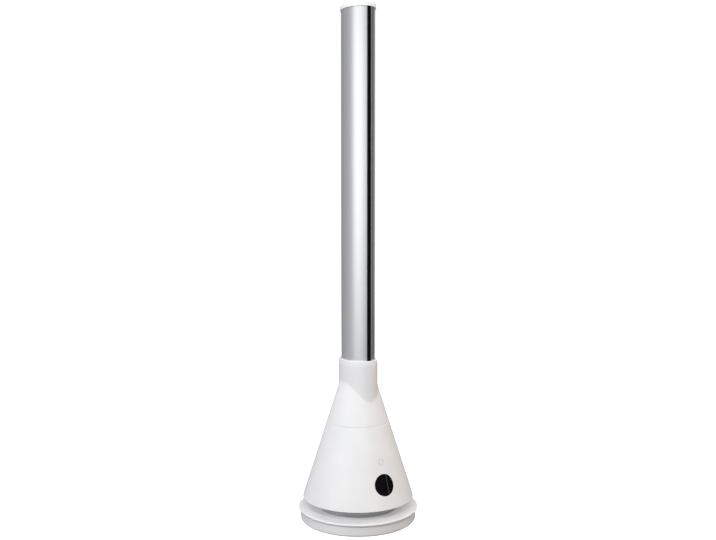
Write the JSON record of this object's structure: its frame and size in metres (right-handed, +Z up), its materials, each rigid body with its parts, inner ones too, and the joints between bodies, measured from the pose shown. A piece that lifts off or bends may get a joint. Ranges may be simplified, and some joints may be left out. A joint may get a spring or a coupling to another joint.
{
  "type": "bladeless fan",
  "caption": "Free-standing bladeless tower fan: weighted saucer base, swinging conical turret with a round display, and a tall oval aluminium column with an air slot down its nose.",
  "frame": {"origin": "on the floor, on the axis that the turret turns about, which is the base's middle", "axes": "+Z up along the column; -Y is the front, where the slot and the display face; +X is to the right of someone who stands in front and faces it"},
  "size_m": [0.236, 0.236, 1],
  "materials": {
    "white_abs": "moulded, satin gloss",
    "black_abs": "moulded, fine matt",
    "grey_abs": "moulded, fine matt",
    "natural_acetal": "moulded, slightly waxy",
    "bright_steel": "turned and drawn",
    "zinc_plated_steel": "bright zinc plate",
    "cast_iron": "cast, oiled",
    "black_rubber": "moulded",
    "grey_foam": "closed-cell foam",
    "circuit_board": "solder mask",
    "copper_winding": "enamelled wire",
    "smoked_acrylic": "polished, almost opaque",
    "anodised_aluminium": "satin anodised extrusion"
  },
  "bodies": {
    "base": {"base_pan": "white_abs", "base_cover": "white_abs", "counterweight": "cast_iron", "rubber_feet": "black_rubber", "pan_screws": "zinc_plated_steel", "cord_gland": "black_rubber", "power_board": "circuit_board", "power_module": "black_abs", "ring_gear": "natural_acetal", "lower_race": "bright_steel", "pivot_post": "natural_acetal", "post_screws": "zinc_plated_steel", "thrust_washer": "natural_acetal", "retaining_clip": "bright_steel"},
    "race_cage": {"ball_cage": "natural_acetal", "bearing_balls": "zinc_plated_steel"},
    "turret": {"turntable": "grey_abs", "upper_race": "bright_steel", "intake_grille": "grey_abs", "grille_screws": "zinc_plated_steel", "swing_motor": "bright_steel", "swing_motor_screws": "zinc_plated_steel", "control_board": "circuit_board", "board_screws": "zinc_plated_steel", "lower_cone": "white_abs", "cone_screws": "zinc_plated_steel", "display_lens": "smoked_acrylic", "display_frame": "black_abs", "display_board": "circuit_board", "ir_receiver": "black_abs", "button_guide": "black_abs", "tact_switch": "grey_abs", "fan_housing": "grey_abs", "housing_screws": "zinc_plated_steel", "bell_mouth": "grey_abs", "motor_case": "bright_steel", "motor_stator": "copper_winding", "motor_bearings": "zinc_plated_steel", "motor_mounts": "black_rubber", "diffuser": "grey_abs", "motor_cover": "grey_abs", "duct_seal": "grey_foam", "joining_ring": "white_abs", "upper_cone": "white_abs", "column_socket": "black_abs", "socket_screws": "zinc_plated_steel", "column_gasket": "grey_foam", "column_shell": "anodised_aluminium", "nozzle_strips": "black_abs", "top_bracket": "black_abs", "cap_screws": "zinc_plated_steel", "top_cap": "white_abs"},
    "pinion": {"drive_pinion": "natural_acetal", "pinion_shaft": "bright_steel"},
    "rotor": {"impeller": "black_abs", "spinner": "black_abs", "impeller_nut": "zinc_plated_steel", "motor_shaft": "bright_steel", "rotor_magnet": "cast_iron"},
    "button": {"power_button": "white_abs"}
  },
  "joints": [
    {"name": "swing", "type": "hinge", "parent": "base", "child": "turret", "pos_m": [0, 0, 0.0203], "axis": [0, 0, 1], "range_deg": [-40, 40]},
    {"name": "cage_roll", "type": "hinge", "parent": "base", "child": "race_cage", "pos_m": [0, 0, 0.0203], "axis": [0, 0, 1], "range_deg": [-20, 20]},
    {"name": "pinion_turn", "type": "hinge", "parent": "turret", "child": "pinion", "pos_m": [0, 0.03603, 0.02], "axis": [0, 0, 1], "range_deg": [-200, 200]},
    {"name": "impeller_spin", "type": "hinge", "parent": "turret", "child": "rotor", "pos_m": [0, 0, 0.13], "axis": [0, 0, 1], "continuous": true},
    {"name": "power_press", "type": "slide", "parent": "turret", "child": "button", "axis": [0, 0.9524, -0.3048], "range_m": [0, 0.0008], "stiffness_N_per_m": 600}
  ],
  "couplings": [
    {"joint": "pinion_turn", "follows": "swing", "ratio": -5},
    {"joint": "cage_roll", "follows": "swing", "ratio": 0.5}
  ]
}
